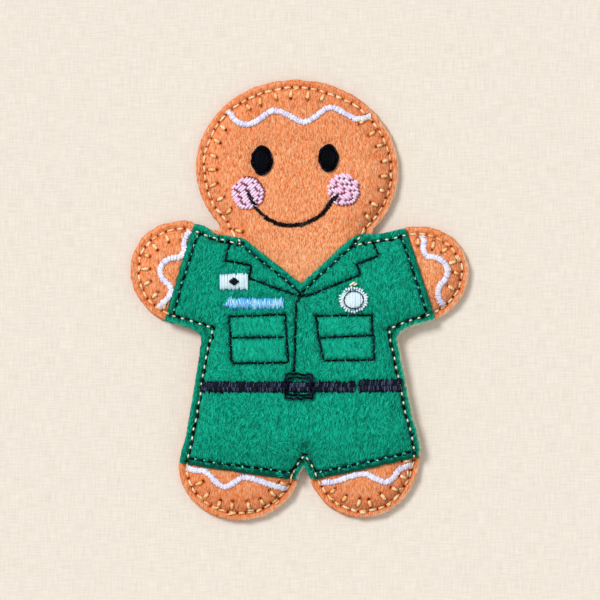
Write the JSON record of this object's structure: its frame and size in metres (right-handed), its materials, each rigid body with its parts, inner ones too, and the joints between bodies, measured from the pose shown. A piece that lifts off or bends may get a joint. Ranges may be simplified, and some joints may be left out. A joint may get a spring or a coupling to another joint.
{
  "type": "felt gingerbread decoration",
  "caption": "Flat padded felt gingerbread figure with satin icing, a stitched smile and an appliqued green uniform with belt, pockets and plain badges.",
  "frame": {"origin": "middle of the rectangle round the back felt, on the back's flat face", "axes": "+Z out of the back towards the face, +Y from the feet to the head, +X to the viewer's right"},
  "size_m": [0.078, 0.1014, 0.0069],
  "materials": {
    "orange_felt": "matte wool-mix felt",
    "green_felt": "matte wool-mix felt",
    "white_wadding": "loose polyester wadding",
    "gold_thread": "rayon thread, soft sheen",
    "black_thread": "rayon thread, soft sheen",
    "white_thread": "satin stitch, soft sheen",
    "pink_thread": "fill stitch, soft sheen",
    "navy_thread": "satin stitch, soft sheen",
    "blue_thread": "satin stitch, soft sheen"
  },
  "bodies": {
    "root": {"back_felt": "orange_felt", "wadding": "white_wadding", "front_felt": "orange_felt", "uniform_felt": "green_felt", "outline_seam": "gold_thread", "uniform_seam": "black_thread", "icing_head": "white_thread", "icing_left_hand": "white_thread", "icing_right_hand": "white_thread", "icing_left_foot": "white_thread", "icing_right_foot": "white_thread", "blanket_stitch_head": "gold_thread", "blanket_stitch_left_hand": "gold_thread", "blanket_stitch_right_hand": "gold_thread", "blanket_stitch_left_foot": "gold_thread", "blanket_stitch_right_foot": "gold_thread", "left_eye": "black_thread", "left_cheek": "pink_thread", "right_eye": "black_thread", "right_cheek": "pink_thread", "smile": "black_thread", "left_lapel_line": "black_thread", "left_pocket": "black_thread", "left_pocket_flap": "black_thread", "right_lapel_line": "black_thread", "right_pocket": "black_thread", "right_pocket_flap": "black_thread", "front_placket": "black_thread", "belt": "navy_thread", "belt_end": "navy_thread", "buckle": "black_thread", "chest_patch": "white_thread", "patch_mark": "navy_thread", "name_strip": "blue_thread", "round_badge": "white_thread", "badge_ring": "navy_thread"}
  },
  "joints": []
}
